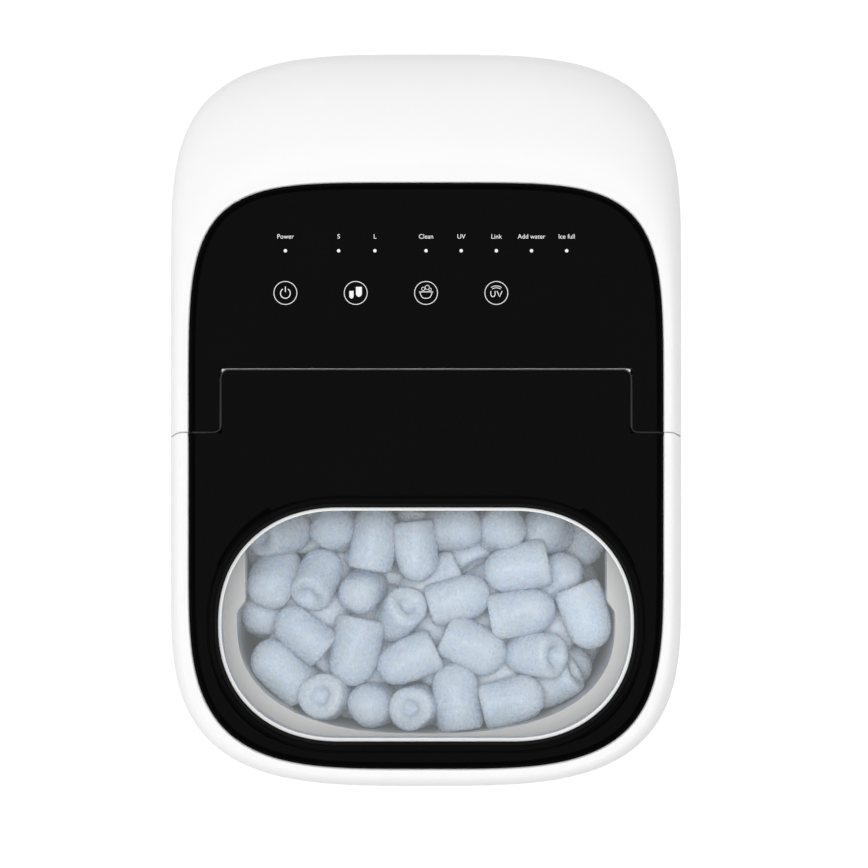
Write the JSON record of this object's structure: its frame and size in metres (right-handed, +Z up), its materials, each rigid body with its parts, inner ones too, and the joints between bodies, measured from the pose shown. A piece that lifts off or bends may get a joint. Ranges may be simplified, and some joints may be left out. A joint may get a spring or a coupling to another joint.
{
  "type": "countertop ice maker",
  "caption": "Countertop bullet-ice maker with a hinged windowed lid, lift-out ice basket, tilting freezing tray, fan-cooled compressor and a touch panel.",
  "frame": {"origin": "centre of the footprint, on the surface that the feet stand on", "axes": "+Z up, +Y towards the rear grille, -Y towards the front where the lid opens, +X to the right of someone facing the front"},
  "size_m": [0.24, 0.345, 0.325],
  "materials": {
    "white_housing": "gloss moulded white plastic",
    "black_panel": "black high-gloss panel with printed white symbols",
    "grey_trim": "satin grey plastic",
    "clear_window": "clear polished plastic window",
    "white_liner": "satin white liner",
    "seal_rubber": "soft dark rubber",
    "dark_plastic": "matte black plastic",
    "steel": "plain steel",
    "foot_rubber": "matte black rubber",
    "foam": "pale expanded foam",
    "tub_plastic": "satin translucent plastic",
    "basket_plastic": "satin off-white plastic",
    "ice": "frosted translucent ice",
    "plated_copper": "nickel-plated copper tube",
    "lamp_cover": "clear lamp cover",
    "compressor_paint": "black enamelled steel can",
    "fin_metal": "aluminium fins on tube",
    "board": "green circuit board"
  },
  "bodies": {
    "root": {"outer_shell": "white_housing", "rear_top_cover": "white_housing", "control_panel": "black_panel", "hinge_trough": "dark_plastic", "hinge_bracket_left": "grey_trim", "hinge_bracket_right": "grey_trim", "hinge_pin_left": "steel", "hinge_pin_right": "steel", "rear_grille": "white_housing", "rear_plate": "white_housing", "power_inlet": "dark_plastic", "base_pan": "grey_trim", "foot_1": "foot_rubber", "foot_2": "foot_rubber", "foot_3": "foot_rubber", "foot_4": "foot_rubber", "base_screw_1": "steel", "base_screw_2": "steel", "base_screw_3": "steel", "base_screw_4": "steel", "foam_base": "foam", "foam_jacket": "foam", "water_tub": "tub_plastic", "drain_fitting": "grey_trim", "tray_bearing_left": "grey_trim", "tray_bearing_right": "grey_trim", "tray_motor": "dark_plastic", "ice_chute": "tub_plastic", "evaporator": "plated_copper", "water_pump": "dark_plastic", "water_tube": "tub_plastic", "ice_sensor_left": "dark_plastic", "ice_sensor_right": "dark_plastic", "uv_lamp": "lamp_cover", "compressor": "compressor_paint", "compressor_mount_1": "foot_rubber", "compressor_mount_2": "foot_rubber", "compressor_mount_3": "foot_rubber", "condenser": "fin_metal", "fan_shroud": "dark_plastic", "fan_motor": "steel", "fan_bracket": "steel", "control_board": "board", "power_board": "board"},
    "lid": {"lid_shell": "white_housing", "lid_panel": "black_panel", "window_bezel": "grey_trim", "lid_window": "clear_window", "lid_liner": "white_liner", "lid_seal": "seal_rubber"},
    "basket": {"ice_basket": "basket_plastic", "ice_heap": "ice"},
    "tray": {"water_tray": "tub_plastic", "ice_shovel": "grey_trim"},
    "fan": {"fan_rotor": "grey_trim"},
    "drain_plug": {"drain_plug": "seal_rubber"}
  },
  "joints": [
    {"name": "lid_hinge", "type": "hinge", "parent": "root", "child": "lid", "pos_m": [0, 0.0085, 0.316], "axis": [-1, 0, 0], "range_deg": [0, 95]},
    {"name": "basket_lift", "type": "slide", "parent": "root", "child": "basket", "axis": [0, 0, 1], "range_m": [0, 0.012]},
    {"name": "tray_tilt", "type": "hinge", "parent": "root", "child": "tray", "pos_m": [0, 0.008, 0.24], "axis": [1, 0, 0], "range_deg": [0, 85]},
    {"name": "fan_spin", "type": "hinge", "parent": "root", "child": "fan", "pos_m": [0.056, 0.105, 0.078], "axis": [0, 1, 0], "continuous": true},
    {"name": "drain_pull", "type": "slide", "parent": "root", "child": "drain_plug", "axis": [1, 0, 0], "range_m": [0, 0.024]}
  ]
}
